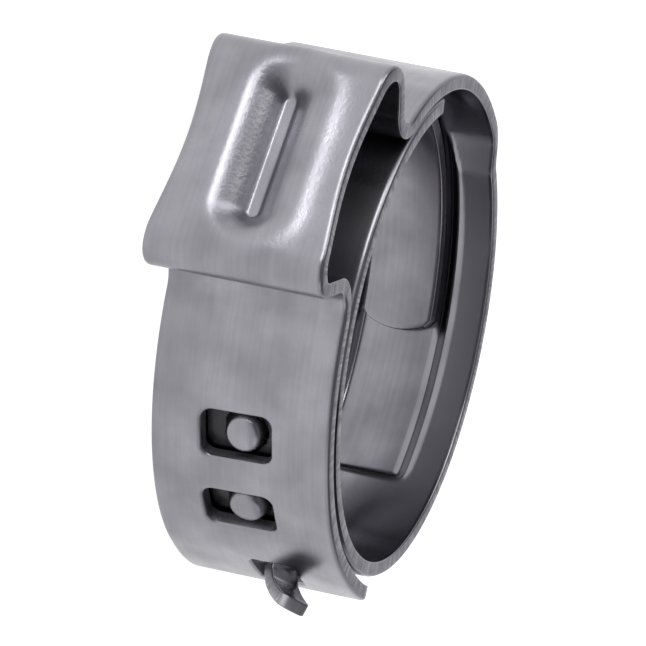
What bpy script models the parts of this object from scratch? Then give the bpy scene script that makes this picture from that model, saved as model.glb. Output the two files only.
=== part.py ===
"""Single-ear hose clamp: one stainless strip rolled twice round a bore and pinched shut at its ear.

The strip is modelled stretch by stretch, cut where it bends when the ear is pinched. Every stretch
is a sheet: a flat grid formed into the strip's mid-surface, then thickened. The bore axis is +Z, the
ear stands on +Y, and angles run anticlockwise in degrees from +X. The strip's path runs
anticlockwise too, from the tip of the tongue inside to the free end of the strap outside.
"""

import math

import bmesh
import bpy
from mathutils import Vector

MM = 0.001

# Driving dimensions
BORE_RADIUS = 8.75 * MM
THICKNESS = 0.6 * MM
BAND_WIDTH = 7.0 * MM
LAYER_GAP = 0.1 * MM  # between the inner and the outer layer
SEAM_GAP = 0.04 * MM  # between two stretches that meet end to end
FOOT_SEAM_GAP = 0.1 * MM  # the same at the ear's tightly bent feet
INNER_MID = BORE_RADIUS + THICKNESS / 2
OUTER_MID = BORE_RADIUS + 1.5 * THICKNESS + LAYER_GAP
ARC_STEP = 3.0  # degrees along a round stretch

# Where each stretch starts and ends, in degrees round the bore
TONGUE_TIP = -65.0
SHOULDER = 39.5  # the strip narrows to the tongue here
BRIDGE_START = 60.0
LATCH_START = 127.0
LATCH_END = 198.0
LOWER_MIDDLE = 225.0
CHANNEL_START = 252.0
JOGGLE_START = 342.5
JOGGLE_END = 354.5
STRAP_LIFT_START = 184.0
FREE_END = 205.5

# Tongue and the channel it slides in
TONGUE_WIDTH = 2.8 * MM
TIP_ROUNDING = 3.0  # degrees that the middle of the tip stands ahead of its corners
CHANNEL_FLOOR = 3.1 * MM
CHANNEL_MOUTH = 4.3 * MM

# Ear, as the corners of its mid-line
SHOULDER_A = Vector((5.65, 13.24, 0.0)) * MM
SHOULDER_B = Vector((-5.34, 13.24, 0.0)) * MM
CROWN_HINGE = 3.05 * MM  # half the length of the stiff middle of the crown
LEG_LEAN = math.radians(34.8)  # each leg leans outwards by this much
FOOT_BEND = 1.3 * MM
SHOULDER_A_BEND = 1.24 * MM
SHOULDER_B_BEND = 0.78 * MM
EAR_WAIST = 0.37 * MM  # how far each edge draws in at the middle of the crown
BEAD_LENGTH = 5.7 * MM
BEAD_WIDTH = 2.7 * MM
BEAD_DEPTH = 0.75 * MM

# Latch: two buttons and a hook on the inner layer, in three openings of the strap
LATCH_OFFSET = -0.1 * MM  # the latch stands this far from the middle of the band
BUTTON_ANGLES = (144.2, 164.6)
BUTTON_BASE = 0.72 * MM
BUTTON_TOP = 0.5 * MM
BUTTON_HEIGHT = 0.62 * MM
WINDOW_LENGTH = 1.9 * MM
WINDOW_WIDTH = 2.75 * MM
WINDOW_MIDDLE_SHIFT = 0.15 * MM  # windows reach a little further towards the free end
HOOK_START = 186.0
HOOK_END = 195.6
HOOK_ROOT = -0.8 * MM
HOOK_ROOT_BEND = 0.35 * MM
HOOK_ROOT_TURN = 75.0
HOOK_CURL = 2.4 * MM
HOOK_TIP_TURN = 14.0
HOOK_NOSE = 0.35 * MM
HOOK_HOLE = (HOOK_ROOT, 2.0 * MM)
HOOK_SLOT = (-0.95 * MM, 1.35 * MM)
HOOK_CLEARANCE = 1.3  # degrees round the hook in the openings
FREE_END_LIFT = 0.3 * MM

STEEL = (0.56, 0.56, 0.58, 1.0)


def clear_scene():
    for obj in list(bpy.data.objects):
        bpy.data.objects.remove(obj, do_unlink=True)


def polar(radius, degrees, z=0.0):
    angle = math.radians(degrees)
    return Vector((radius * math.cos(angle), radius * math.sin(angle), z))


def degrees_of(length, radius):
    return math.degrees(length / radius)


def evenly(start, end, step):
    count = max(1, round(abs(end - start) / step))
    return [start + (end - start) * i / count for i in range(count + 1)]


def smooth(value):
    value = min(max(value, 0.0), 1.0)
    return value * value * (3.0 - 2.0 * value)


def steel(name, tint, roughness):
    material = bpy.data.materials.new(name)
    material.use_nodes = True
    shader = material.node_tree.nodes["Principled BSDF"]
    shader.inputs["Base Color"].default_value = [channel * tint for channel in STEEL[:3]] + [1.0]
    shader.inputs["Metallic"].default_value = 1.0
    shader.inputs["Roughness"].default_value = roughness
    return material


def formed_sheet(name, rows, columns, form, keep=None):
    """A flat grid with one line for each row and column value, formed by form(row, column) and thickened.

    keep(row, column), given the middle of a cell, says whether that cell stays in the blank."""
    mesh = bmesh.new()
    bmesh.ops.create_grid(mesh, x_segments=len(rows) - 1, y_segments=len(columns) - 1, size=0.5)
    mesh.verts.ensure_lookup_table()

    def line_of(value, lines):
        return lines[round((value + 0.5) * (len(lines) - 1))]

    places = {v: (line_of(v.co.x, rows), line_of(v.co.y, columns)) for v in mesh.verts}
    if keep is not None:
        dropped = []
        for face in mesh.faces:
            row = sum(places[v][0] for v in face.verts) / 4
            column = sum(places[v][1] for v in face.verts) / 4
            if not keep(row, column):
                dropped.append(face)
        bmesh.ops.delete(mesh, geom=dropped, context="FACES")
    for vert in mesh.verts:
        vert.co = form(*places[vert])
    data = bpy.data.meshes.new(name)
    mesh.to_mesh(data)
    mesh.free()
    obj = bpy.data.objects.new(name, data)
    bpy.context.scene.collection.objects.link(obj)
    solidify = obj.modifiers.new("Sheet thickness", "SOLIDIFY")
    solidify.thickness = THICKNESS
    solidify.offset = 0.0
    solidify.use_even_offset = True
    for polygon in data.polygons:
        polygon.use_smooth = True
    return obj


def arc_sheet(name, start, end, radius, half_width=BAND_WIDTH / 2):
    """A round stretch of constant width, with half a seam gap left at each end."""
    seam = degrees_of(SEAM_GAP / 2, radius)
    rows = evenly(start + seam, end - seam, ARC_STEP)
    columns = [-half_width, half_width]
    return formed_sheet(name, rows, columns, lambda angle, z: polar(radius, angle, z))


def path_sheet(name, path, half_widths, columns=(-1.0, 1.0), dent=None):
    """A stretch along a list of mid-line points. columns are shares of the half width there.

    dent(along, z) is how far the sheet is pressed inwards at that length along the path."""
    lengths = [0.0]
    for previous, point in zip(path, path[1:]):
        lengths.append(lengths[-1] + (point - previous).length)
    total = lengths[-1]

    def form(row, share):
        index = int(row)
        ahead = path[min(index + 1, len(path) - 1)] - path[max(index - 1, 0)]
        outward = Vector((ahead.y, -ahead.x, 0.0)).normalized()
        along = lengths[index]
        z = share * half_widths(along / total)
        pressed = dent(along - total / 2, z) if dent else 0.0
        return path[index] - outward * pressed + Vector((0.0, 0.0, z))

    return formed_sheet(name, list(range(len(path))), list(columns), form)


def fillet(corner, before, after, radius, steps=6):
    """Points along the round corner between two straight lines that meet at corner."""
    inward = (before - corner).normalized()
    outward = (after - corner).normalized()
    half = inward.angle(outward) / 2
    centre = corner + (inward + outward).normalized() * (radius / math.sin(half))
    first = corner + inward * (radius / math.tan(half)) - centre
    last = corner + outward * (radius / math.tan(half)) - centre
    sweep = first.angle(last)
    points = []
    for step in range(steps + 1):
        share = step / steps
        mix = first * math.sin((1 - share) * sweep) + last * math.sin(share * sweep)
        points.append(centre + mix / math.sin(sweep))
    return points


def trimmed(path, at_start, at_end):
    """The path with a length taken off each end."""
    start = path[0] + (path[1] - path[0]).normalized() * at_start
    end = path[-1] + (path[-2] - path[-1]).normalized() * at_end
    return [start] + list(path[1:-1]) + [end]


def between(start, end, step):
    count = max(1, round((end - start).length / step))
    return [start.lerp(end, i / count) for i in range(count + 1)]


def boolean(target, tool, operation):
    modifier = target.modifiers.new(f"{operation.title()} {tool.name}", "BOOLEAN")
    modifier.operation = operation
    modifier.object = tool
    modifier.solver = "EXACT"
    tool.hide_render = True
    tool.display_type = "WIRE"
    for collection in list(tool.users_collection):
        collection.objects.unlink(tool)
    tools = bpy.data.collections.get("Tools")
    if tools is None:
        tools = bpy.data.collections.new("Tools")
        bpy.context.scene.collection.children.link(tools)
    tools.objects.link(tool)


def turned_cone(name, wide, narrow, low, high, degrees, z):
    """A cone standing outwards on the ring, between two radii from the bore axis."""
    mesh = bmesh.new()
    bmesh.ops.create_cone(
        mesh, cap_ends=True, segments=24, radius1=wide, radius2=narrow, depth=high - low
    )
    data = bpy.data.meshes.new(name)
    mesh.to_mesh(data)
    mesh.free()
    obj = bpy.data.objects.new(name, data)
    bpy.context.scene.collection.objects.link(obj)
    obj.location = polar((low + high) / 2, degrees, z)
    obj.rotation_euler = (0.0, math.radians(90), math.radians(degrees))
    return obj


def foot_corner(shoulder, side, steps=10):
    """The round corner from the ring up into a leg; side is 1 for foot A and -1 for foot B."""
    down = Vector((-side * math.sin(LEG_LEAN), -math.cos(LEG_LEAN), 0.0))
    away = Vector((side * math.cos(LEG_LEAN), -math.sin(LEG_LEAN), 0.0))
    start = shoulder + away * FOOT_BEND
    along = start.dot(down)
    reach = OUTER_MID + FOOT_BEND
    centre = start - down * (along + math.sqrt(along**2 - start.length_squared + reach**2))
    first = math.atan2(-centre.y, -centre.x)
    last = math.atan2(-away.y, -away.x)
    sweep = math.remainder(last - first, 2 * math.pi)
    return [
        centre + polar(FOOT_BEND, math.degrees(first + sweep * step / steps))
        for step in range(steps + 1)
    ]


def foot_corners():
    """The corners at the ear's two feet, in the order in which the strip runs."""
    return foot_corner(SHOULDER_A, 1), foot_corner(SHOULDER_B, -1)[::-1]


def make_tongue():
    seam = degrees_of(SEAM_GAP / 2, INNER_MID)
    rows = evenly(TONGUE_TIP, SHOULDER, ARC_STEP)[:-1]
    rows += evenly(SHOULDER, BRIDGE_START - seam, ARC_STEP)
    shares = [-1.0, -0.5, 0.0, 0.5, 1.0]
    half = TONGUE_WIDTH / 2
    columns = [-BAND_WIDTH / 2] + [share * half for share in shares] + [BAND_WIDTH / 2]

    def form(angle, z):
        nearness = smooth((TONGUE_TIP + 15.0 - angle) / 15.0)
        return polar(INNER_MID, angle + TIP_ROUNDING * nearness * (z / half) ** 2, z)

    def keep(angle, z):
        return angle > SHOULDER or abs(z) < half

    return formed_sheet("tongue", rows, columns, form, keep)


def make_bridge():
    return arc_sheet("bridge", BRIDGE_START, LATCH_START, INNER_MID)


def make_hook():
    """The hook's own sheet: a tab that leaves the inner layer sideways, turns out and curls over."""
    z, height = HOOK_ROOT - 0.2 * MM, 0.0
    profile = [Vector((z, height, 0.0)), Vector((HOOK_ROOT, height, 0.0))]
    for radius, turn_from, turn_to in (
        (HOOK_ROOT_BEND, 0.0, HOOK_ROOT_TURN),
        (HOOK_CURL, HOOK_ROOT_TURN, HOOK_TIP_TURN),
    ):
        turns = evenly(turn_from, turn_to, 10.0)
        for before, after in zip(turns, turns[1:]):
            chord = radius * math.radians(abs(after - before))
            heading = math.radians((before + after) / 2)
            profile.append(
                profile[-1] + Vector((math.cos(heading), math.sin(heading), 0.0)) * chord
            )
    heading = math.radians(HOOK_TIP_TURN)
    profile.append(
        profile[-1] + Vector((math.cos(heading), math.sin(heading), 0.0)) * HOOK_NOSE
    )
    last = len(profile) - 1

    def form(row, share):
        point = profile[int(row)]
        curl = (row / last) ** 2
        start = HOOK_START + 3.5 * curl
        end = HOOK_END - 1.5 * curl
        return polar(INNER_MID + point.y, start + (end - start) * share, point.x)

    return formed_sheet("hook_tab", list(range(last + 1)), [0.0, 0.5, 1.0], form)


def make_latch_band():
    seam = degrees_of(SEAM_GAP / 2, INNER_MID)
    hole_start = HOOK_START - HOOK_CLEARANCE
    hole_end = HOOK_END + HOOK_CLEARANCE * 0.8
    rows = evenly(LATCH_START + seam, hole_start, ARC_STEP)[:-1]
    rows += evenly(hole_start, hole_end, ARC_STEP)
    rows += [LATCH_END - seam]
    columns = [-BAND_WIDTH / 2, HOOK_HOLE[0], HOOK_HOLE[1], BAND_WIDTH / 2]

    def keep(angle, z):
        return not (hole_start < angle < hole_end and HOOK_HOLE[0] < z < HOOK_HOLE[1])

    band = formed_sheet(
        "latch_band", rows, columns, lambda angle, z: polar(INNER_MID, angle, z), keep
    )
    boolean(band, make_hook(), "UNION")
    outside = BORE_RADIUS + THICKNESS
    for number, angle in enumerate(BUTTON_ANGLES, 1):
        boss = turned_cone(
            f"button_{number}_boss", BUTTON_BASE, BUTTON_TOP,
            outside - 0.2 * MM, outside + BUTTON_HEIGHT, angle, LATCH_OFFSET,
        )
        boolean(band, boss, "UNION")
        hollow = turned_cone(
            f"button_{number}_hollow", BUTTON_TOP, BUTTON_TOP * 0.4,
            BORE_RADIUS - 0.3 * MM, outside + 0.15 * MM, angle, LATCH_OFFSET,
        )
        boolean(band, hollow, "DIFFERENCE")
    return band


def make_lower_arcs():
    return (
        arc_sheet("lower_arc_front", LATCH_END, LOWER_MIDDLE, INNER_MID),
        arc_sheet("lower_arc_back", LOWER_MIDDLE, CHANNEL_START, INNER_MID),
    )


def make_channel_band():
    """The back of the ring: side flanges at the bore and a channel pressed outwards between them."""
    seam = degrees_of(SEAM_GAP / 2, INNER_MID)
    channel_end = CHANNEL_START + seam + 1.5
    rows = [CHANNEL_START + seam, channel_end]
    rows += evenly(channel_end, channel_end + 6.0, 1.5)[1:]
    rows += evenly(channel_end + 6.0, JOGGLE_START, ARC_STEP)[1:]
    rows += evenly(JOGGLE_START, JOGGLE_END - seam, 1.5)[1:]
    floor = CHANNEL_FLOOR / 2
    mouth = CHANNEL_MOUTH / 2
    edges = [floor, (floor + mouth) / 2, mouth, BAND_WIDTH / 2]
    columns = [-edge for edge in reversed(edges)] + edges
    step = OUTER_MID - INNER_MID

    def form(angle, z):
        pressed = smooth((angle - channel_end) / 6.0)
        channel = pressed * (1.0 - smooth((abs(z) - floor) / (mouth - floor)))
        joggle = smooth((angle - JOGGLE_START) / (JOGGLE_END - 1.5 - JOGGLE_START))
        return polar(INNER_MID + step * max(channel, joggle), angle, z)

    return formed_sheet("channel_band", rows, columns, form)


def make_outer_arc(corner):
    seam = degrees_of(SEAM_GAP / 2, OUTER_MID)
    meets_corner = math.degrees(math.atan2(corner[0].y, corner[0].x))
    angles = evenly(JOGGLE_END - 360.0 + seam, meets_corner, ARC_STEP)[:-1]
    middle = len(corner) // 2
    path = [polar(OUTER_MID, angle) for angle in angles] + corner[: middle + 1]
    return path_sheet(
        "outer_arc", trimmed(path, 0.0, FOOT_SEAM_GAP / 2), lambda share: BAND_WIDTH / 2
    )


def crown_half_width(x):
    """The strip draws in over the crown, most of all half way between the shoulders."""
    share = (SHOULDER_A.x - 1.0 * MM - x) / (SHOULDER_A.x - SHOULDER_B.x - 1.5 * MM)
    return BAND_WIDTH / 2 - EAR_WAIST * math.sin(math.pi * min(max(share, 0.0), 1.0))


def leg_half_width(share_from_foot, crown_end):
    edge = BAND_WIDTH / 2 - crown_half_width(crown_end)
    return BAND_WIDTH / 2 - edge * smooth((share_from_foot - 0.55) / 0.45)


def make_leg_a(corner):
    middle = len(corner) // 2
    shoulder = fillet(SHOULDER_A, corner[-1], SHOULDER_B, SHOULDER_A_BEND)
    path = corner[middle:] + shoulder + [crown_point(CROWN_HINGE)]
    return path_sheet(
        "ear_leg_a",
        trimmed(path, FOOT_SEAM_GAP / 2, SEAM_GAP / 2),
        lambda share: leg_half_width(share, CROWN_HINGE),
    )


def make_leg_b(corner):
    middle = len(corner) // 2
    shoulder = fillet(SHOULDER_B, SHOULDER_A, corner[0], SHOULDER_B_BEND)
    path = [crown_point(-CROWN_HINGE)] + shoulder + corner[: middle + 1]
    return path_sheet(
        "ear_leg_b",
        trimmed(path, SEAM_GAP / 2, FOOT_SEAM_GAP / 2),
        lambda share: leg_half_width(1.0 - share, -CROWN_HINGE),
    )


def crown_point(x):
    share = (SHOULDER_A.x - x) / (SHOULDER_A.x - SHOULDER_B.x)
    return SHOULDER_A.lerp(SHOULDER_B, share)


def make_crown():
    """The stiff middle of the ear, with a long bead pressed inwards along it."""
    path = trimmed(
        between(crown_point(CROWN_HINGE), crown_point(-CROWN_HINGE), 0.3 * MM),
        SEAM_GAP / 2,
        SEAM_GAP / 2,
    )
    straight = (BEAD_LENGTH - BEAD_WIDTH) / 2

    def dent(along, z):
        beyond = max(abs(along) - straight, 0.0)
        from_middle = math.hypot(beyond, z)
        slope = (BEAD_WIDTH / 2 - from_middle) / (0.7 * BEAD_WIDTH / 2)
        return BEAD_DEPTH * smooth(slope)

    columns = [-1.0 + 2.0 * i / 24 for i in range(25)]
    return path_sheet(
        "ear_crown", path, lambda share: crown_half_width(CROWN_HINGE * (1 - 2 * share)), columns, dent
    )


def make_strap(foot):
    """The outer layer from foot B down to the free end, with its three openings."""
    corner = trimmed(foot[len(foot) // 2 :], FOOT_SEAM_GAP / 2, 0.0)
    meets_ring = math.degrees(math.atan2(corner[-1].y, corner[-1].x))
    shift = degrees_of(WINDOW_MIDDLE_SHIFT, OUTER_MID)
    half_window = degrees_of(WINDOW_LENGTH / 2, OUTER_MID)
    openings = [
        (angle + shift - half_window, angle + shift + half_window)
        for angle in BUTTON_ANGLES
    ]
    openings.append((HOOK_START - HOOK_CLEARANCE, HOOK_END + HOOK_CLEARANCE))
    angles = []
    start = meets_ring
    for low, high in openings:
        angles += evenly(start, low, ARC_STEP)[1:] + evenly(low, high, ARC_STEP)[1:]
        start = high
    angles += evenly(start, FREE_END, ARC_STEP)[1:]
    rows = [float(index) for index in range(-len(corner), 0)] + angles
    window = (LATCH_OFFSET - WINDOW_WIDTH / 2, LATCH_OFFSET + WINDOW_WIDTH / 2)
    half = BAND_WIDTH / 2
    columns = sorted((-half, window[0], HOOK_SLOT[0], window[1], HOOK_SLOT[1], half))

    def form(row, z):
        if row < 0:
            return corner[int(row)] + Vector((0.0, 0.0, z))
        lift = smooth((row - STRAP_LIFT_START) / (1.4 * (FREE_END - STRAP_LIFT_START)))
        return polar(OUTER_MID + FREE_END_LIFT * lift, row, z)

    def keep(row, z):
        for (low, high), (left, right) in zip(openings, (window, window, HOOK_SLOT)):
            if low < row < high and left < z < right:
                return False
        return True

    return formed_sheet("strap", rows, columns, form, keep)


def pivot_of(corner):
    """The point on the hollow side of a round corner where the strip folds."""
    middle = corner[len(corner) // 2]
    chord_middle = (corner[0] + corner[-1]) / 2
    return middle + (chord_middle - middle).normalized() * (THICKNESS / 2)


def empty_at(name, place, parent=None):
    empty = bpy.data.objects.new(name, None)
    empty.empty_display_size = 1.0 * MM
    bpy.context.scene.collection.objects.link(empty)
    if parent:
        empty.parent = parent
        empty.location = place - world_place(parent)
    else:
        empty.location = place
    return empty


def world_place(obj):
    place = obj.location.copy()
    while obj.parent:
        obj = obj.parent
        place += obj.location
    return place


def hang(obj, pivot):
    """Parents a stretch to its pivot, with its origin there and its shape left where it was."""
    place = world_place(pivot)
    for vert in obj.data.vertices:
        vert.co -= place
    obj.parent = pivot
    for modifier in obj.modifiers:
        if modifier.type == "BOOLEAN" and not modifier.object.parent:
            modifier.object.location -= place
            modifier.object.parent = pivot


def main():
    clear_scene()
    foot_a, foot_b = foot_corners()
    frame = empty_at("clamp", Vector())
    back_hinge = empty_at("lower_back_hinge", polar(BORE_RADIUS, CHANNEL_START), frame)
    middle_hinge = empty_at("lower_middle_hinge", polar(BORE_RADIUS, LOWER_MIDDLE), back_hinge)
    front_hinge = empty_at("lower_front_hinge", polar(BORE_RADIUS, LATCH_END), middle_hinge)
    tongue_slide = empty_at("tongue_slide", Vector(), frame)
    bridge_hinge = empty_at("bridge_hinge", polar(BORE_RADIUS, BRIDGE_START), tongue_slide)
    under_crown = Vector((0.0, THICKNESS / 2, 0.0))
    foot_a_hinge = empty_at("foot_a_hinge", pivot_of(foot_a), frame)
    crown_a_hinge = empty_at("crown_a_hinge", crown_point(CROWN_HINGE) - under_crown, foot_a_hinge)
    crown_b_hinge = empty_at("crown_b_hinge", crown_point(-CROWN_HINGE) - under_crown, crown_a_hinge)
    foot_b_hinge = empty_at("foot_b_hinge", pivot_of(foot_b), crown_b_hinge)
    lower_front, lower_back = make_lower_arcs()
    stretches = (
        (make_channel_band(), frame, 0.9, 0.32),
        (make_outer_arc(foot_a), frame, 1.0, 0.34),
        (lower_back, back_hinge, 0.95, 0.32),
        (lower_front, middle_hinge, 0.95, 0.32),
        (make_latch_band(), front_hinge, 0.9, 0.3),
        (make_tongue(), tongue_slide, 0.85, 0.28),
        (make_bridge(), bridge_hinge, 0.85, 0.28),
        (make_leg_a(foot_a), foot_a_hinge, 1.0, 0.36),
        (make_crown(), crown_a_hinge, 1.08, 0.4),
        (make_leg_b(foot_b), crown_b_hinge, 1.0, 0.36),
        (make_strap(foot_b), foot_b_hinge, 1.05, 0.36),
    )
    for obj, pivot, tint, roughness in stretches:
        obj.data.materials.append(steel(f"{obj.name} steel", tint, roughness))
        hang(obj, pivot)


main()
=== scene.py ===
"""Looks of the single-ear hose clamp: fine strip surfaces, steel finishes, studio and camera.

The clamp is one steel strip. Here it is made from lengths of a single mid-line that meet end to end.
Each but the crown's crosses one bend line of the frame; these pieces are not bent with the frame's
bodies.
Strip coordinates are millimetres: u runs along the strip from the tongue's tip, v across it (the
same way as Z), and height is measured outwards from the mid-surface. Points of the mid-line are
complex numbers, x + iy.
"""

import math

import bmesh
import bpy
import numpy as np
from mathutils import Matrix, Vector


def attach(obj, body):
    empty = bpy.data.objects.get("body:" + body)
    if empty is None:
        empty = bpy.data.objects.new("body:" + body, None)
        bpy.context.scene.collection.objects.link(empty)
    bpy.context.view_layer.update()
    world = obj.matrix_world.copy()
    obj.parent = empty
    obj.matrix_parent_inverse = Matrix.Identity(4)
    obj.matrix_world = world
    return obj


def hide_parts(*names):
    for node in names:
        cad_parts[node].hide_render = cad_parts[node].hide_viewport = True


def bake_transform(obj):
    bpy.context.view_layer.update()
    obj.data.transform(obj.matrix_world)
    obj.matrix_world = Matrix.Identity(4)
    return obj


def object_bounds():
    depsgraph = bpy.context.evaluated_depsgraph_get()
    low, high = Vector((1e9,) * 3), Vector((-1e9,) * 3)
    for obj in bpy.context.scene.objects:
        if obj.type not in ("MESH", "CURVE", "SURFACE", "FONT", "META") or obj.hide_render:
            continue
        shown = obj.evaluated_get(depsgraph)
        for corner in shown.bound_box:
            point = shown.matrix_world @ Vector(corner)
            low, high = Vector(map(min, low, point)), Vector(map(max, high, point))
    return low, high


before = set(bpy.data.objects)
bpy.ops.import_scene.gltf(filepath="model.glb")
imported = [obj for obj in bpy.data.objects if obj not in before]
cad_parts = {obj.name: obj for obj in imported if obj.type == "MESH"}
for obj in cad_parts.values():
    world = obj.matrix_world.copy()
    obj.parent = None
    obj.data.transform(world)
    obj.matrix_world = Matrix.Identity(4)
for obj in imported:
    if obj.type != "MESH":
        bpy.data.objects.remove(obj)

CAD_BOX = [list(corner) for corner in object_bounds()]

MM = 0.001

# The strip and its two layers
THICKNESS = 0.6
HALF_WIDTH = 3.5
BORE = 8.75
INNER_MID = BORE + THICKNESS / 2
OUTER_MID = BORE + 1.5 * THICKNESS + 0.1
STEP = OUTER_MID - INNER_MID

# Angles round the bore, in degrees, in the order in which the strip runs
TONGUE_TIP = -65.0
TONGUE_SHOULDER = 39.5
BRIDGE_START = 60.0
LATCH_START = 127.0
LATCH_END = 198.0
LOWER_MIDDLE = 225.0
CHANNEL_START = 252.0
JOGGLE = (342.5, 353.0)
OUTER_START = 354.5
LIFT_START = 184.0
FREE_END = 205.5

# The strap's lift off the layer below; its curve runs on past the free end, still rising there
STRAP_LIFT = 0.3
LIFT_STRETCH = 1.4

# How far the mid-line runs on past the strip's ends, in degrees
TIP_MARGIN = 1.0
END_MARGIN = 1.5

# The mid-line's points, and how many of them are averaged for its headings and its curvature
POINT_SPACING = 0.02
ARC_RADIUS = 9.5  # for counting an arc's points
LEG_POINTS = 120
CROWN_POINTS = 400
HEADING_SPAN = 7
CURVE_SPAN = 25

# Ear, as the corners of its mid-line
CROWN_HEIGHT = 13.24
SHOULDER_A = complex(5.65, CROWN_HEIGHT)
SHOULDER_B = complex(-5.34, CROWN_HEIGHT)
LEG_LEAN = 34.8
FOOT_BEND = 1.3
SHOULDER_A_BEND = 1.24
SHOULDER_B_BEND = 0.78
CROWN_HINGE = 3.05
WAIST = 0.37
WAIST_POWER = 1.4

# How much a tight bend narrows the strip on its stretched side: the share of the strain, the
# curvature (1/mm) up to which nothing shows, and where across the strip it starts and grows
EDGE_DRAW = 0.04
EASY_CURVE = 0.12
DRAW_START = 2.2
DRAW_GROWTH = 1.3

# Ends of the strip
END_REACH = 30.0  # half length of an end's outline, which runs on well past its piece's seam
TONGUE_HALF = 1.4
TIP_BOW = 0.45
TIP_SLOPE = 0.95  # keeps the bowed tip's distance about true
TONGUE_SHOULDER_CORNER = 0.6
FREE_END_CORNER = 0.35

# Channel, pressed outwards: its flat floor and mouth across the strip, and its ramp in degrees
CHANNEL_FLOOR = 1.5
CHANNEL_MOUTH = 2.2
CHANNEL_RAMP_START = 1.6
CHANNEL_RAMP = 5.5

# Bead, pressed into the crown
BEAD_STRAIGHT = 2.3
BEAD_FLOOR = 0.22
BEAD_EDGE = 1.6
BEAD_DEPTH = 0.82
BEAD_POWER = 2.2
BEAD_LIP = 0.13
LIP_OFFSET = 0.1
LIP_WIDTH = 0.55
BEAD_START = 12.4  # height above the bore's centre at which the bead starts to grow
BEAD_GROWTH = 0.6

# Buttons, pressed outwards: a dome on a skirt, whose reaches are shares of the radius
BUTTON_ANGLES = (144.2, 164.6)
BUTTON_RADIUS = 0.86
BUTTON_HEIGHT = 0.66
BUTTON_OFFSET = 0.05
DOME_REACH = 0.97
SKIRT_REACH = 0.3
DOME_SHARE = 0.6
SKIRT_SHARE = 0.4

# Openings, as middle angle, half length, middle v, half width, corner radius and tilt in degrees
WINDOWS = (
    (144.6, 0.95, -0.16, 1.37, 0.42, 2.0),
    (165.0, 0.95, -0.16, 1.37, 0.42, 2.0),
)
WINDOWS_CENTRE = 154.8
HOOK_SLOT = (192.2, 1.15, 0.5, 0.85, 0.3, 0.0)
HOOK_HOLE = (192.0, 1.1, 0.62, 0.95, 0.3, 0.0)

# Hook: a tab turned up out of the latch length, its width askew to the strip
HOOK_MIDDLE = 193.1
HOOK_OFFSET = 0.59
HOOK_SKEW = 50.0
HOOK_HALF = 0.62
HOOK_CORNER = 0.45
HOOK_THICKNESS = 0.5
HOOK_ROLL = 0.09
HOOK_GRID = 0.06
HOOK_COLUMNS_REACH = 0.9
HOOK_ARM = 0.7  # above the inner layer, where lengths along the strip are turned into degrees
HOOK_SPACING = 0.01
HOOK_SPAN = 25
# The hook's mid-line, as (square to its width, out from the inner layer's middle)
HOOK_PATH = (
    (-0.85, 0.0), (-0.55, 0.02), (-0.3, 0.18), (-0.14, 0.5), (0.0, 1.0), (0.27, 1.46),
    (0.71, 1.84), (1.2, 2.15), (1.68, 2.38),
)

# Cut edges: the outer side rolls over, the inner side keeps a small burr radius
OUTER_ROLL = 0.2
OUTER_DROP = 0.13
OUTER_RINGS = 5
INNER_ROLL = 0.05
INNER_RINGS = 3

# Meshing: steps along the strip, how far past the flat a kept cell may reach, how often the flat's
# border is drawn onto its line, and the angle in degrees above which an edge is shaded sharp
GRID = 0.14
LEG_GRID = 0.1
EAR_GRID = 0.08
LATCH_GRID = 0.07
CELL_REACH = 0.4 * GRID
EDGE_PASSES = 4
SHARP_ANGLE = 48


# ---- mid-line ----

def on_ring(radius, degrees):
    return radius * np.exp(1j * np.radians(degrees))


def smooth(value):
    value = np.clip(value, 0.0, 1.0)
    return value * value * (3.0 - 2.0 * value)


def unit(value):
    return value / abs(value)


def between(at, positions, values):
    """Complex values, interpolated."""
    return np.interp(at, positions, values.real) + 1j * np.interp(at, positions, values.imag)


def averaged(values, span):
    """The running mean of span values, with the first and last repeated."""
    ends = span // 2
    padded = np.concatenate([[values[0]] * ends, values, [values[-1]] * ends])
    return np.convolve(padded, np.ones(span) / span, "valid")


def fillet(corner, before, after, radius):
    """Points of the round corner between two straight lines, from before to after."""
    inward = unit(before - corner)
    outward = unit(after - corner)
    half = abs(np.angle(outward / inward)) / 2
    centre = corner + unit(inward + outward) * (radius / math.sin(half))
    first = corner + inward * (radius / math.tan(half)) - centre
    last = corner + outward * (radius / math.tan(half)) - centre
    sweep = np.angle(last / first)
    count = max(4, round(radius * abs(sweep) / POINT_SPACING))
    return centre + first * np.exp(1j * sweep * np.linspace(0.0, 1.0, count + 1))


def foot(shoulder, side):
    """Points of the round corner where a leg meets the ring, from the ring up; side is 1 or -1."""
    lean = math.radians(LEG_LEAN)
    down = complex(-side * math.sin(lean), -math.cos(lean))
    away = complex(side * math.cos(lean), -math.sin(lean))
    start = shoulder + away * FOOT_BEND
    along = (start * down.conjugate()).real
    reach = OUTER_MID + FOOT_BEND
    centre = start - down * (along + math.sqrt(along**2 - abs(start) ** 2 + reach**2))
    first = -unit(centre) * FOOT_BEND
    sweep = np.angle(-away / unit(first))
    count = round(FOOT_BEND * abs(sweep) / POINT_SPACING)
    return centre + first * np.exp(1j * sweep * np.linspace(0.0, 1.0, count + 1))


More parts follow.
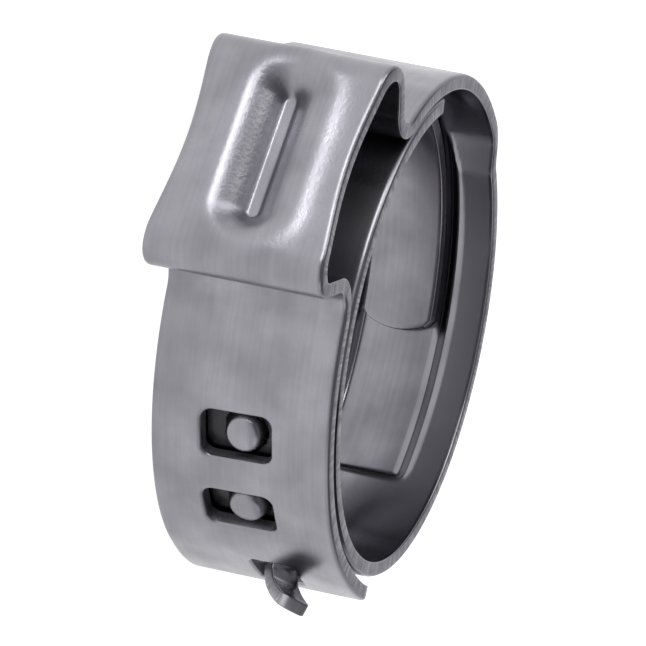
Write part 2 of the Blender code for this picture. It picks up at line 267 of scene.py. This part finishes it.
class Midline:
    """The strip's mid-line as closely spaced points, with named stretches."""

    def __init__(self):
        self.points = np.zeros(0, complex)
        self.names = {}
        self.degrees = {}

    def add(self, name, points):
        start = len(self.points)
        if start and abs(self.points[-1] - points[0]) < POINT_SPACING / 2:
            points = points[1:]
        self.points = np.concatenate([self.points, points])
        self.names[name] = (start, len(self.points))

    def arc(self, name, radius, start, end):
        """radius is a length, or a function of the angle."""
        count = round(math.radians(end - start) * ARC_RADIUS / POINT_SPACING)
        degrees = np.linspace(start, end, count + 1)
        radii = radius(degrees) if callable(radius) else radius
        self.add(name, on_ring(radii, degrees))
        self.degrees[name] = degrees

    def finish(self):
        """Measures u, spaces the points evenly, and finds the headings and curvature there."""
        self.u = np.concatenate([[0.0], np.cumsum(np.abs(np.diff(self.points)))])
        self.even = np.arange(0.0, self.u[-1], POINT_SPACING)
        self.even_points = between(self.even, self.u, self.points)
        self.tangent = averaged(np.gradient(self.even_points), HEADING_SPAN)
        turn = np.unwrap(np.angle(self.tangent))
        mean = np.ones(CURVE_SPAN) / CURVE_SPAN
        self.curve = np.convolve(np.gradient(turn, POINT_SPACING), mean, "same")

    def place(self, u):
        return between(u, self.even, self.even_points)

    def outward(self, u):
        tangent = between(u, self.even, self.tangent)
        return -1j * tangent / np.abs(tangent)

    def nearest(self, name, point):
        start, end = self.names[name]
        index = int(np.argmin(np.abs(self.points[start:end] - point)))
        return float(self.u[start + index])

    def at(self, name, degrees):
        """The u of an angle on an arc, counted on past 360 as the arc is."""
        start, end = self.names[name]
        return float(np.interp(degrees, self.degrees[name][start - end :], self.u[start:end]))


def joggle_share(degrees):
    """How much of the step from the inner to the outer layer the strip has made, from 0 to 1."""
    return smooth((degrees - JOGGLE[0]) / (JOGGLE[1] - JOGGLE[0]))


def joggle_radius(degrees):
    return INNER_MID + STEP * joggle_share(degrees)


def strap_radius(degrees):
    share = (degrees - LIFT_START) / (LIFT_STRETCH * (FREE_END - LIFT_START))
    return OUTER_MID + STRAP_LIFT * smooth(share)


def strip_midline():
    line = Midline()
    corner_a = foot(SHOULDER_A, 1.0)
    corner_b = foot(SHOULDER_B, -1.0)[::-1]
    top_a = fillet(SHOULDER_A, corner_a[-1], SHOULDER_B, SHOULDER_A_BEND)
    top_b = fillet(SHOULDER_B, SHOULDER_A, corner_b[0], SHOULDER_B_BEND)
    meets_a = math.degrees(np.angle(corner_a[0]))
    meets_b = math.degrees(np.angle(corner_b[-1]))
    line.arc("inner", INNER_MID, TONGUE_TIP - TIP_MARGIN, JOGGLE[0])
    line.arc("joggle", joggle_radius, JOGGLE[0], OUTER_START)
    line.arc("outer", OUTER_MID, OUTER_START, 360.0 + meets_a)
    line.add("foot a", corner_a)
    line.add("leg a", np.linspace(corner_a[-1], top_a[0], LEG_POINTS))
    line.add("shoulder a", top_a)
    line.add("crown", np.linspace(top_a[-1], top_b[0], CROWN_POINTS))
    line.add("shoulder b", top_b)
    line.add("leg b", np.linspace(top_b[-1], corner_b[0], LEG_POINTS))
    line.add("foot b", corner_b)
    line.arc("strap", strap_radius, meets_b, FREE_END + END_MARGIN)
    line.finish()
    # The joggle's steel is offset straight out from the ring, or the deep channel would fold there
    joggle = (line.even > line.at("inner", JOGGLE[0])) & (line.even < line.at("outer", OUTER_START))
    line.tangent[joggle] = 1j * line.even_points[joggle]
    return line


LINE = strip_midline()
CROWN_MIDDLE = LINE.nearest("crown", complex(0.0, CROWN_HEIGHT))
WINDOWS_MIDDLE = LINE.at("inner", WINDOWS_CENTRE)


def middle_of(name):
    start, end = LINE.names[name]
    return float((LINE.u[start] + LINE.u[end - 1]) / 2)


def strip_surface(u, v, height):
    """A tight bend narrows the stretched side near the edges, so the cut edge tilts there."""
    place = LINE.place(u) + LINE.outward(u) * height
    curve = np.interp(u, LINE.even, LINE.curve)
    curve = np.sign(curve) * np.maximum(np.abs(curve) - EASY_CURVE, 0.0)
    near_edge = smooth((np.abs(v) - DRAW_START) / DRAW_GROWTH)
    narrowing = EDGE_DRAW * near_edge * (np.abs(curve) * THICKNESS / 2 + curve * height)
    return np.stack([place.real, place.imag, v - np.sign(v) * narrowing], -1)


# ---- outlines: distance in from the nearest cut edge, positive in the steel ----

def box_distance(u, v, middle, half_length, middle_v, half_breadth, corner, tilt=0.0):
    """Distance from a round-cornered rectangle, positive outside it."""
    turn = math.radians(tilt)
    along = (u - middle) * math.cos(turn) + (v - middle_v) * math.sin(turn)
    across = (v - middle_v) * math.cos(turn) - (u - middle) * math.sin(turn)
    x = np.abs(along) - (half_length - corner)
    y = np.abs(across) - (half_breadth - corner)
    outside = np.hypot(np.maximum(x, 0.0), np.maximum(y, 0.0))
    return outside + np.minimum(np.maximum(x, y), 0.0) - corner


def opening_distance(u, v, stretch, opening):
    return box_distance(u, v, LINE.at(stretch, opening[0]), *opening[1:])


def half_width(u):
    """The strip's half width, drawn in over the ear's crown."""
    start = middle_of("shoulder a")
    end = middle_of("shoulder b")
    share = np.clip((u - start) / (end - start), 0.0, 1.0)
    return HALF_WIDTH - WAIST * np.sin(math.pi * share) ** WAIST_POWER


def band_outline(u, v):
    return half_width(u) - np.abs(v)


def tongue_outline(u, v):
    """Full width after the shoulder; a narrow tongue with a shallow round tip before it."""
    shoulder = LINE.at("inner", TONGUE_SHOULDER)
    tip = LINE.at("inner", TONGUE_TIP)
    bow = TIP_BOW * (v / TONGUE_HALF) ** 2
    tongue = np.minimum(TONGUE_HALF - np.abs(v), (u - tip - bow) * TIP_SLOPE)
    middle = shoulder + END_REACH
    band = -box_distance(u, v, middle, END_REACH, 0.0, HALF_WIDTH, TONGUE_SHOULDER_CORNER)
    return np.maximum(tongue, band)


def strap_outline(u, v):
    middle = LINE.at("strap", FREE_END) - END_REACH
    distance = -box_distance(u, v, middle, END_REACH, 0.0, HALF_WIDTH, FREE_END_CORNER)
    distance = np.minimum(distance, band_outline(u, v))
    for opening in (*WINDOWS, HOOK_SLOT):
        distance = np.minimum(distance, opening_distance(u, v, "strap", opening))
    return distance


def latch_outline(u, v):
    return np.minimum(HALF_WIDTH - np.abs(v), opening_distance(u, v, "inner", HOOK_HOLE))


# ---- relief: how far pressed features stand outwards ----

def no_relief(u, v):
    return np.zeros_like(u)


def channel_relief(u, v):
    degrees = np.degrees(np.angle(LINE.place(u))) % 360.0
    degrees = np.where(degrees < 90.0, degrees + 360.0, degrees)
    ramp = smooth((degrees - CHANNEL_START - CHANNEL_RAMP_START) / CHANNEL_RAMP)
    walls = 1.0 - smooth((np.abs(v) - CHANNEL_FLOOR) / (CHANNEL_MOUTH - CHANNEL_FLOOR))
    return STEP * np.maximum(ramp * walls - joggle_share(degrees), 0.0)


def bead_relief(u, v):
    place = LINE.place(u)
    on_crown = smooth((place.imag - BEAD_START) / BEAD_GROWTH)
    from_line = np.hypot(np.maximum(np.abs(place.real) - BEAD_STRAIGHT, 0.0), v)
    depth = np.clip((BEAD_EDGE - from_line) / (BEAD_EDGE - BEAD_FLOOR), 0.0, 1.0)
    lip = BEAD_LIP * np.exp(-(((from_line - BEAD_EDGE - LIP_OFFSET) / LIP_WIDTH) ** 2))
    return on_crown * (lip - BEAD_DEPTH * depth**BEAD_POWER)


def button_relief(u, v):
    relief = np.zeros_like(u)
    for degrees in BUTTON_ANGLES:
        out = np.hypot(u - LINE.at("inner", degrees), v - BUTTON_OFFSET) / BUTTON_RADIUS
        dome = np.sqrt(np.clip(1.0 - (out / DOME_REACH) ** 2, 0.0, 1.0))
        skirt = smooth((1.0 - out) / SKIRT_REACH)
        relief = relief + BUTTON_HEIGHT * (DOME_SHARE * dome + SKIRT_SHARE * skirt)
    return relief


# ---- meshing ----

OUTER, INNER, RIM = range(3)  # the finishes' places on a piece


def steps(start, end, step=GRID):
    return np.linspace(start, end, max(1, math.ceil(abs(end - start) / step)) + 1)


def gradient(outline, u, v):
    nudge = 1e-3
    along = (outline(u + nudge, v) - outline(u - nudge, v)) / (2 * nudge)
    across = (outline(u, v + nudge) - outline(u, v - nudge)) / (2 * nudge)
    length = np.maximum(np.hypot(along, across), 1e-6)
    return along / length, across / length


def roll_rings(reach, drop, count):
    """(outwards, down) of each ring of a rolled edge, from the flat to the rim."""
    turns = np.radians(np.linspace(0.0, 90.0, count + 1)[1:])
    return [(reach * math.sin(t), drop * (1.0 - math.cos(t))) for t in turns]


def edges_of(cells):
    """Directed edges of the kept cells that no other kept cell shares."""
    pairs = np.concatenate([cells[:, [0, 1]], cells[:, [1, 2]], cells[:, [2, 3]], cells[:, [3, 0]]])
    size = cells.max() + 1
    forward = pairs[:, 0] * size + pairs[:, 1]
    backward = pairs[:, 1] * size + pairs[:, 0]
    return pairs[~np.isin(forward, backward)]


def object_of(name, points, coordinates, faces, finishes):
    """The piece as an object; it carries the strip's coordinates for the finishes to read."""
    mesh = bpy.data.meshes.new(name)
    mesh.from_pydata((points * MM).tolist(), [], faces)
    mesh.polygons.foreach_set("material_index", finishes)
    strip = mesh.attributes.new("strip", "FLOAT_VECTOR", "POINT")
    strip.data.foreach_set("vector", coordinates.astype(np.float32).ravel())
    facing = bmesh.new()
    facing.from_mesh(mesh)
    bmesh.ops.recalc_face_normals(facing, faces=facing.faces)
    facing.to_mesh(mesh)
    facing.free()
    mesh.shade_smooth()
    mesh.set_sharp_from_angle(angle=math.radians(SHARP_ANGLE))
    obj = bpy.data.objects.new(name, mesh)
    bpy.context.scene.collection.objects.link(obj)
    return obj


def sheet(name, rows, columns, outline, surface=strip_surface, relief=no_relief,
          seams=(True, True), thickness=THICKNESS, roll=OUTER_ROLL):
    """A closed piece of sheet steel with rolled cut edges.

    rows are u values, columns shares of the half width; cells outside the outline are dropped, and
    the steel's edge is drawn onto the outline. A seam end is cut square, to meet its neighbour."""
    drop = roll * OUTER_DROP / OUTER_ROLL
    u = np.repeat(rows[:, None], len(columns), 1)
    v = np.stack([columns] * len(rows))
    if surface is strip_surface:
        v = v * (half_width(u) - roll)
    index = np.arange(u.size).reshape(u.shape)
    u, v = u.ravel(), v.ravel()
    inside = outline(u, v) > roll - CELL_REACH
    cells = np.stack(
        [index[:-1, :-1], index[1:, :-1], index[1:, 1:], index[:-1, 1:]], -1
    ).reshape(-1, 4)
    cells = cells[inside[cells].all(1)]
    border = edges_of(cells)
    row_of = np.arange(u.size) // len(columns)
    seam_rows = [row for row, is_seam in zip((0, len(rows) - 1), seams) if is_seam]
    seam = np.zeros(len(border), bool)
    for row in seam_rows:
        seam |= (row_of[border] == row).all(1)
    rim_edges = border[~seam]
    rim = np.unique(rim_edges)
    at_seam = np.isin(row_of[rim], seam_rows)
    for _ in range(EDGE_PASSES):
        du, dv = gradient(outline, u[rim], v[rim])
        miss = outline(u[rim], v[rim]) - roll
        u[rim] -= np.where(at_seam, 0.0, miss * du)
        v[rim] -= miss * dv
    du, dv = gradient(outline, u[rim], v[rim])
    du = np.where(at_seam, 0.0, du)

    points, coordinates, count = [], [], 0

    def layer(uu, vv, height):
        nonlocal count
        points.append(surface(uu, vv, height))
        coordinates.append(np.stack([uu, vv, height], -1))
        count += len(uu)
        return np.arange(count - len(uu), count)

    used = np.unique(cells)
    local = np.full(u.size, -1)
    local[used] = np.arange(len(used))
    pressed = relief(u[used], v[used])
    front = layer(u[used], v[used], thickness / 2 + pressed)
    back = layer(u[used], v[used], -thickness / 2 + pressed)
    rim_local = np.full(u.size, -1)
    rim_local[rim] = np.arange(len(rim))
    front_rings = [front[local[rim]]]
    for out, down in roll_rings(roll, drop, OUTER_RINGS):
        uu, vv = u[rim] - du * out, v[rim] - dv * out
        front_rings.append(layer(uu, vv, thickness / 2 - down + relief(uu, vv)))
    back_rings = [back[local[rim]]]
    flat = roll - INNER_ROLL
    burr = [(flat + out, down) for out, down in roll_rings(INNER_ROLL, INNER_ROLL, INNER_RINGS)]
    for out, down in [(flat, 0.0)] + burr:
        uu, vv = u[rim] - du * out, v[rim] - dv * out
        back_rings.append(layer(uu, vv, -thickness / 2 + down + relief(uu, vv)))

    faces, finishes = [], []

    def quads(corners, finish):
        faces.extend(np.stack(corners, -1).tolist())
        finishes.extend([finish] * len(corners[0]))

    a, b, c, d = (local[cells[:, k]] for k in range(4))
    quads((front[a], front[b], front[c], front[d]), OUTER)
    quads((back[d], back[c], back[b], back[a]), INNER)
    i, j = rim_local[rim_edges[:, 0]], rim_local[rim_edges[:, 1]]
    for near, far in zip(front_rings, front_rings[1:]):
        quads((near[j], near[i], far[i], far[j]), OUTER)
    for near, far in zip(back_rings, back_rings[1:]):
        quads((near[i], near[j], far[j], far[i]), INNER)
    top, bottom = front_rings[-1], back_rings[-1]
    quads((top[j], top[i], bottom[i], bottom[j]), RIM)
    i, j = local[border[seam][:, 0]], local[border[seam][:, 1]]
    quads((front[j], front[i], back[i], back[j]), RIM)
    for corner in np.flatnonzero(at_seam):
        profile = [ring[corner] for ring in front_rings]
        profile += [ring[corner] for ring in reversed(back_rings)]
        faces.append([int(p) for p in profile])
        finishes.append(RIM)

    obj = object_of(name, np.concatenate(points), np.concatenate(coordinates), faces, finishes)
    return obj


COLUMNS = np.linspace(-1.0, 1.0, 2 * round(HALF_WIDTH / GRID) + 1)
FINE_COLUMNS = np.linspace(-1.0, 1.0, 4 * round(HALF_WIDTH / GRID) + 1)


# ---- finishes ----

STEEL_COLOUR = (0.265, 0.26, 0.285)
RIM_COLOUR = (0.43, 0.425, 0.45)
# Near-black painted shade, laid on the latch's outer face deep behind the windows
PAINTED_RECESS_SHADE = (0.012, 0.011, 0.012, 1.0)
# How often a pattern repeats per millimetre along the strip, across it and outwards
LINES_SCALE = (0.16, 6.0, 0.5)
FINE_LINES_SCALE = (0.7, 26.0, 1.0)
TEARS_SCALE = (9.0, 9.0, 1.2)
TEARS_DEPTH = 2.5  # micrometres
# Distances in millimetres over which the painted shade and the pressed grain fade out: heights over
# the outer face, and lengths along the strip from the windows' middle or the crown's
RECESS_HEIGHTS = (0.08, 0.3)
RECESS_FADE = (3.2, 4.2)
PRESSED_FADE = (4.5, 8.5)


class Graph:
    """Short calls for a material's nodes."""

    def __init__(self, name):
        self.material = bpy.data.materials.new(name)
        self.material.use_nodes = True
        self.tree = self.material.node_tree
        self.shader = self.tree.nodes["Principled BSDF"]

    def feed(self, socket, value):
        if hasattr(value, "is_output"):
            self.tree.links.new(value, socket)
        else:
            socket.default_value = value

    def node(self, kind, inputs, **settings):
        made = self.tree.nodes.new(kind)
        for key, value in settings.items():
            setattr(made, key, value)
        for key, value in inputs.items():
            self.feed(made.inputs[key], value)
        return made

    def scaled(self, vector, scale):
        return self.node(
            "ShaderNodeVectorMath", {0: vector, 1: scale}, operation="MULTIPLY"
        ).outputs[0]

    def noise(self, vector, scale=1.0, detail=3.0, roughness=0.5):
        return self.node(
            "ShaderNodeTexNoise",
            {"Vector": vector, "Scale": scale, "Detail": detail, "Roughness": roughness},
        ).outputs["Fac"]

    def math(self, operation, a, b=0.0):
        return self.node("ShaderNodeMath", {0: a, 1: b}, operation=operation).outputs[0]

    def remap(self, value, low, high, to_low, to_high):
        return self.node(
            "ShaderNodeMapRange",
            {"Value": value, "From Min": low, "From Max": high, "To Min": to_low, "To Max": to_high},
        ).outputs["Result"]

    def mix(self, share, a, b):
        made = self.node("ShaderNodeMix", {"Factor": share}, data_type="RGBA")
        self.feed(made.inputs[6], a)
        self.feed(made.inputs[7], b)
        return made.outputs[2]

    def near(self, value, middle, fade):
        """1 close to the middle, fading to 0 between two distances from it."""
        away = self.math("ABSOLUTE", self.math("SUBTRACT", value, middle))
        return self.remap(away, *fade, 1.0, 0.0)

    def bump(self, height, micrometres, normal=None):
        inputs = {"Height": height, "Distance": micrometres * 1e-6, "Strength": 1.0}
        if normal is not None:
            inputs["Normal"] = normal
        return self.node("ShaderNodeBump", inputs).outputs["Normal"]

    def metal(self, colour, roughness, normal):
        looks = {"Base Color": colour, "Roughness": roughness, "Normal": normal, "Metallic": 1.0}
        for key, value in looks.items():
            self.feed(self.shader.inputs[key], value)
        return self.material


def shade_of(colour, factor):
    return [min(channel * factor, 1.0) for channel in colour] + [1.0]


def steel(name, roughness, grain, rolling, pressed=0.0, recess_shade=0.0):
    """Cold-rolled stainless: faint rolling lines along the strip, mottling and grain.

    grain, rolling and pressed, the coarser grain round the pressed bead, are relief heights in
    micrometres; recess paints shade into the colour of what lies deep behind the windows, darkening it
    towards near black as if in their shadow."""
    graph = Graph(name)
    strip = graph.node("ShaderNodeAttribute", {}, attribute_name="strip").outputs["Vector"]
    lines = graph.noise(graph.scaled(strip, LINES_SCALE), detail=5.0, roughness=0.65)
    fine_lines = graph.noise(graph.scaled(strip, FINE_LINES_SCALE), detail=3.0)
    mottle = graph.noise(strip, scale=0.55, detail=3.0)
    peel = graph.noise(strip, scale=9.0, detail=2.0)
    tone = graph.math("ADD", graph.math("MULTIPLY", lines, 0.3), graph.math("MULTIPLY", mottle, 0.7))
    share = graph.remap(tone, 0.35, 0.65, 0.0, 1.0)
    shade = graph.mix(share, shade_of(STEEL_COLOUR, 0.86), shade_of(STEEL_COLOUR, 1.13))
    place = graph.node("ShaderNodeSeparateXYZ", {0: strip}).outputs
    # Painted shade: the face deep behind the windows is darkened towards near black, standing in for
    # their shadow
    if recess_shade:
        face = THICKNESS / 2
        deep = graph.remap(place["Z"], face + RECESS_HEIGHTS[0], face + RECESS_HEIGHTS[1], recess_shade, 0.0)
        near = graph.near(place["X"], WINDOWS_MIDDLE, RECESS_FADE)
        shade = graph.mix(graph.math("MULTIPLY", deep, near), shade, PAINTED_RECESS_SHADE)
    normal = graph.bump(peel, grain)
    if pressed:
        near = graph.near(place["X"], CROWN_MIDDLE, PRESSED_FADE)
        coarse = graph.noise(strip, scale=6.5, detail=3.0, roughness=0.6)
        normal = graph.bump(graph.math("MULTIPLY", coarse, near), pressed, normal)
    normal = graph.bump(fine_lines, rolling, normal)
    rough = graph.remap(tone, 0.3, 0.7, roughness + 0.05, roughness - 0.05)
    return graph.metal(shade, rough, normal)


def rim_steel(name, roughness):
    """Sheared edge: fine tears running through the thickness."""
    graph = Graph(name)
    strip = graph.node("ShaderNodeAttribute", {}, attribute_name="strip").outputs["Vector"]
    tears = graph.noise(graph.scaled(strip, TEARS_SCALE), detail=4.0, roughness=0.6)
    share = graph.remap(tears, 0.4, 0.6, 0.0, 1.0)
    shade = graph.mix(share, shade_of(RIM_COLOUR, 0.75), shade_of(RIM_COLOUR, 1.0))
    rough = graph.remap(tears, 0.35, 0.65, roughness + 0.1, roughness - 0.1)
    return graph.metal(shade, rough, graph.bump(tears, TEARS_DEPTH))


OUTER_STEEL = steel("satin_outer_face", roughness=0.3, grain=1.0, rolling=0.35, pressed=8.0)
# The latch's outer face carries painted shade deep behind the windows
LATCH_STEEL = steel("latch_outer_face", roughness=0.3, grain=1.0, rolling=0.35, recess_shade=0.9)
INNER_STEEL = steel("bright_inner_face", roughness=0.2, grain=0.5, rolling=0.25)
RIM_STEEL = rim_steel("sheared_edge", roughness=0.42)


def wear(obj, outer=OUTER_STEEL):
    for material in (outer, INNER_STEEL, RIM_STEEL):
        obj.data.materials.append(material)
    return obj


# ---- the strip's lengths ----

# Half the length of strip that each bend takes, and how far the ear's upper bends lie from the
# crown's seams
RING_REACH = 1.6
CHANNEL_REACH = 1.2
FOOT_REACH = 0.9
SHOULDER_A_REACH = 0.7
SHOULDER_A_AWAY = 1.05
SHOULDER_B_REACH = 0.5
SHOULDER_B_AWAY = 1.5
CROWN_INSET = 0.1  # of the crown's seams from its hinges
END_ROOM = 0.1  # of the rows past the strip's ends


def bend(obj, u, reach):
    """Bakes the piece's transform into its mesh; the ends of a length of strip each side of u are
    found but not used, so nothing is bent.
    """
    start, end = LINE.place(np.array([u - reach, u + reach]))
    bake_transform(obj)


# The seams between pieces, as lengths along the strip
BRIDGE_END = LINE.at("inner", LATCH_START)
FRONT_SEAM = LINE.at("inner", 211.0)
BACK_SEAM = LINE.at("inner", 238.0)
OUTER_SEAM = LINE.at("outer", 390.0)
LEG_A_SEAM = middle_of("leg a")
LEG_B_SEAM = middle_of("leg b")
CROWN_A_SEAM = LINE.nearest("crown", complex(CROWN_HINGE - CROWN_INSET, CROWN_HEIGHT))
CROWN_B_SEAM = LINE.nearest("crown", complex(CROWN_INSET - CROWN_HINGE, CROWN_HEIGHT))


def build_strip():
    tongue = sheet(
        "inner_tongue", steps(LINE.at("inner", TONGUE_TIP) - END_ROOM, BRIDGE_END), COLUMNS,
        tongue_outline, seams=(False, True),
    )
    bend(wear(tongue), LINE.at("inner", BRIDGE_START), RING_REACH)
    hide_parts("tongue", "bridge")

    latch = sheet(
        "latch_length", steps(BRIDGE_END, FRONT_SEAM, LATCH_GRID), FINE_COLUMNS, latch_outline,
        relief=button_relief,
    )
    wear(latch, outer=LATCH_STEEL)
    bend(latch, LINE.at("inner", LATCH_END), RING_REACH)
    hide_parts("latch_band")

    lower = sheet("lower_length", steps(FRONT_SEAM, BACK_SEAM), COLUMNS, band_outline)
    bend(wear(lower), LINE.at("inner", LOWER_MIDDLE), RING_REACH)
    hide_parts("lower_arc_front")

    channel = sheet(
        "channel_length", steps(BACK_SEAM, OUTER_SEAM), COLUMNS, band_outline,
        relief=channel_relief,
    )
    bend(wear(channel), LINE.at("inner", CHANNEL_START), CHANNEL_REACH)
    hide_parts("lower_arc_back", "channel_band", "outer_arc")

    foot_a = sheet("ear_foot_a", steps(OUTER_SEAM, LEG_A_SEAM, LEG_GRID), COLUMNS, band_outline)
    bend(wear(foot_a), middle_of("foot a"), FOOT_REACH)
    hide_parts("ear_leg_a")

    shoulder_a = sheet(
        "ear_shoulder_a", steps(LEG_A_SEAM, CROWN_A_SEAM, EAR_GRID), FINE_COLUMNS, band_outline,
        relief=bead_relief,
    )
    bend(wear(shoulder_a), CROWN_A_SEAM - SHOULDER_A_AWAY, SHOULDER_A_REACH)

    crown = sheet(
        "ear_crown_face", steps(CROWN_A_SEAM, CROWN_B_SEAM, EAR_GRID), FINE_COLUMNS, band_outline,
        relief=bead_relief,
    )
    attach(wear(crown), "crown")
    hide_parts("ear_crown")

    shoulder_b = sheet(
        "ear_shoulder_b", steps(CROWN_B_SEAM, LEG_B_SEAM, EAR_GRID), FINE_COLUMNS, band_outline,
        relief=bead_relief,
    )
    bend(wear(shoulder_b), CROWN_B_SEAM + SHOULDER_B_AWAY, SHOULDER_B_REACH)
    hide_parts("ear_leg_b")

    strap = sheet(
        "strap_length", steps(LEG_B_SEAM, LINE.at("strap", FREE_END) + END_ROOM, LEG_GRID), COLUMNS,
        strap_outline, seams=(True, False),
    )
    bend(wear(strap), middle_of("foot b"), FOOT_REACH)
    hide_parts("strap")


def hook_profile():
    """The hook's mid-line, closely spaced: lengths along it, points and headings."""
    knots = np.array([complex(*point) for point in HOOK_PATH])
    lengths = np.concatenate([[0.0], np.cumsum(np.abs(np.diff(knots)))])
    along = np.arange(0.0, lengths[-1], HOOK_SPACING)
    points = averaged(between(along, lengths, knots), HOOK_SPAN)
    return along, points, np.gradient(points)


HOOK_ALONG, HOOK_POINTS, HOOK_TURNS = hook_profile()
HOOK_LENGTH = float(HOOK_ALONG[-1])


def hook_surface(u, v, height):
    """u runs up the hook, v along the strip."""
    turn = between(u, HOOK_ALONG, HOOK_TURNS)
    place = between(u, HOOK_ALONG, HOOK_POINTS) + 1j * turn / np.abs(turn) * height
    skew = math.radians(HOOK_SKEW)
    along = v * math.sin(skew) - place.real * math.cos(skew)
    across = HOOK_OFFSET + v * math.cos(skew) + place.real * math.sin(skew)
    degrees = HOOK_MIDDLE + np.degrees(along / (INNER_MID + HOOK_ARM))
    ring = on_ring(INNER_MID + place.imag, degrees)
    return np.stack([ring.real, ring.imag, across], -1)


def hook_outline(u, v):
    return -box_distance(u, v, 0.0, HOOK_LENGTH, 0.0, HOOK_HALF, HOOK_CORNER)


def build_hook():
    columns = np.arange(-HOOK_COLUMNS_REACH, HOOK_COLUMNS_REACH + HOOK_GRID / 2, HOOK_GRID)
    hook = sheet(
        "latch_hook", steps(0.0, HOOK_LENGTH + END_ROOM, HOOK_GRID), columns,
        hook_outline, surface=hook_surface, seams=(True, False), thickness=HOOK_THICKNESS,
        roll=HOOK_ROLL,
    )
    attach(wear(hook), "latch")


# ---- studio ----

FLOOR_SIZE = 1.2
FLOOR_GAP = 0.00002
FLOOR_COLOUR = (0.6, 0.6, 0.6, 1.0)
FLOOR_ROUGHNESS = 0.8
FLOOR_GLOW = 0.9
CAMERA_DISTANCE = 0.25
CAMERA_AZIMUTH = 114.5
CAMERA_ELEVATION = 16.6
CAMERA_UP_AZIMUTH = 24.5
CAMERA_ROLL = -11.36
CAMERA_LENS = 366.5
CAMERA_AIM = (-0.00035, -0.00019)  # the view's centre from the bore's centre, right and up
# Azimuth, elevation, width, height and power of each softbox
SOFTBOXES = {
    "low": (66.0, 14.0, 0.3, 0.2, 0.8),
    "key": (35.0, 38.0, 0.25, 0.25, 0.5),
    "side": (190.0, 30.0, 0.3, 0.3, 0.15),
}
SOFTBOX_DISTANCE = 0.5
SKY = ((0.0, 0.8), (0.32, 0.78), (0.58, 0.15), (1.0, 0.25))  # sine of the height, and brightness
SKY_BLUE = 1.05


def direction(azimuth, elevation):
    azimuth, elevation = math.radians(azimuth), math.radians(elevation)
    return Vector((
        math.cos(elevation) * math.cos(azimuth),
        math.cos(elevation) * math.sin(azimuth),
        math.sin(elevation),
    ))


def build_camera():
    back = direction(CAMERA_AZIMUTH, CAMERA_ELEVATION)
    right = (-back).cross(direction(CAMERA_UP_AZIMUTH, 0.0)).normalized()
    up = right.cross(-back)
    roll = math.radians(CAMERA_ROLL)
    right, up = (
        right * math.cos(roll) - up * math.sin(roll),
        right * math.sin(roll) + up * math.cos(roll),
    )
    data = bpy.data.cameras.new("camera")
    data.sensor_width = 36.0
    data.lens = CAMERA_LENS
    data.clip_start = 0.01
    data.clip_end = 10.0
    camera = bpy.data.objects.new("camera", data)
    bpy.context.scene.collection.objects.link(camera)
    place = back * CAMERA_DISTANCE + right * CAMERA_AIM[0] + up * CAMERA_AIM[1]
    camera.matrix_world = Matrix(
        [[right[k], up[k], back[k], place[k]] for k in range(3)] + [[0.0, 0.0, 0.0, 1.0]]
    )
    bpy.context.scene.camera = camera


def softbox(name, azimuth, elevation, width, height, power):
    data = bpy.data.lights.new(name, "AREA")
    data.shape = "RECTANGLE"
    data.size, data.size_y = width, height
    data.energy = power
    light = bpy.data.objects.new(name, data)
    bpy.context.scene.collection.objects.link(light)
    towards = direction(azimuth, elevation)
    light.location = towards * SOFTBOX_DISTANCE
    light.rotation_euler = towards.to_track_quat("Z", "Y").to_euler()


def build_sky():
    """A pale room: bright near the horizon, dim overhead."""
    world = bpy.data.worlds.new("studio")
    bpy.context.scene.world = world
    world.use_nodes = True
    nodes = world.node_tree.nodes
    links = world.node_tree.links
    place = nodes.new("ShaderNodeTexCoord")
    parts = nodes.new("ShaderNodeSeparateXYZ")
    ramp = nodes.new("ShaderNodeValToRGB")
    links.new(place.outputs["Generated"], parts.inputs[0])
    links.new(parts.outputs["Z"], ramp.inputs["Fac"])
    links.new(ramp.outputs["Color"], nodes["Background"].inputs["Color"])
    stops = ramp.color_ramp.elements
    while len(stops) < len(SKY):
        stops.new(0.5)
    for stop, (height, level) in zip(stops, SKY):
        stop.position = height
        stop.color = (level, level, level * SKY_BLUE, 1.0)
    nodes["Background"].inputs["Strength"].default_value = 1.0


def build_studio():
    lowest = CAD_BOX[0][2]
    bpy.ops.mesh.primitive_plane_add(size=FLOOR_SIZE, location=(0.0, 0.0, lowest - FLOOR_GAP))
    floor = bpy.context.object
    floor.name = "floor"
    graph = Graph("pale_floor")
    graph.shader.inputs["Base Color"].default_value = FLOOR_COLOUR
    graph.shader.inputs["Roughness"].default_value = FLOOR_ROUGHNESS
    graph.shader.inputs["Emission Color"].default_value = (1.0, 1.0, 1.0, 1.0)
    graph.shader.inputs["Emission Strength"].default_value = FLOOR_GLOW
    floor.data.materials.append(graph.material)

    build_sky()
    for name, placing in SOFTBOXES.items():
        softbox(name + "_softbox", *placing)
    bpy.context.scene.view_settings.view_transform = "Standard"


build_strip()
build_hook()
build_camera()
build_studio()
bpy.context.view_layer.update()
